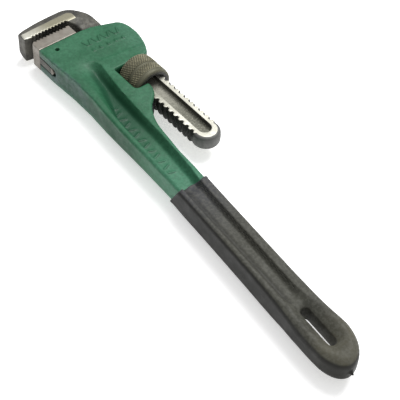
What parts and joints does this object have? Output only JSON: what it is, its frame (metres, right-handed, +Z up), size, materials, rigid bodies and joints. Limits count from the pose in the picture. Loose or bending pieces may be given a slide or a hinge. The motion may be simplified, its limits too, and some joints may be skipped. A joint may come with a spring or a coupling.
{
  "type": "pipe wrench",
  "caption": "Heavy pipe wrench with toothed hook and heel jaws, a threaded shank moved by a knurled nut, and a ribbed iron handle with a dipped grip and a hanging slot.",
  "frame": {"origin": "middle of the wrench's footprint as it lies on its side with the jaws nearly closed, at the height of its lowest point", "axes": "+X runs along the jaw shank towards the handle's end, +Y from the jaws' mouth side towards the adjusting nut, +Z up across the wrench"},
  "size_m": [0.555, 0.1334, 0.0464],
  "materials": {
    "green_paint": "satin enamel over cast iron, slightly grainy",
    "dip_coat": "soft satin vinyl dip",
    "ground_steel": "ground tool steel",
    "pin_steel": "dull steel",
    "forged_steel": "dark forged scale, ground bright on the flats",
    "nut_steel": "oiled, knurled",
    "spring_steel": "blued spring steel"
  },
  "bodies": {
    "handle": {"handle_casting": "green_paint", "dip_grip": "dip_coat", "heel_jaw": "ground_steel", "heel_jaw_pin": "pin_steel", "coil_spring": "spring_steel"},
    "spring_leaf": {"flat_spring": "spring_steel", "spring_rivet": "pin_steel"},
    "nut": {"adjusting_nut": "nut_steel"},
    "hook": {"hook_jaw": "forged_steel"}
  },
  "joints": [
    {"name": "jaw_rock", "type": "hinge", "parent": "handle", "child": "spring_leaf", "pos_m": [-0.1395, 0.03525, 0.0232], "axis": [0, 0, -1], "range_deg": [0, 3], "stiffness_Nm_per_rad": 17, "springref_deg": -4.58, "deforming": ["coil_spring"]},
    {"name": "nut_spin", "type": "hinge", "parent": "spring_leaf", "child": "nut", "pos_m": [-0.1395, 0.03525, 0.0232], "axis": [1, 0, 0], "range_deg": [-195, 3643]},
    {"name": "hook_slide", "type": "slide", "parent": "spring_leaf", "child": "hook", "axis": [-1, 0, 0], "range_m": [-0.0045, 0.084]}
  ],
  "couplings": [
    {"joint": "hook_slide", "follows": "nut_spin", "m_per_rad": 0.001321}
  ]
}
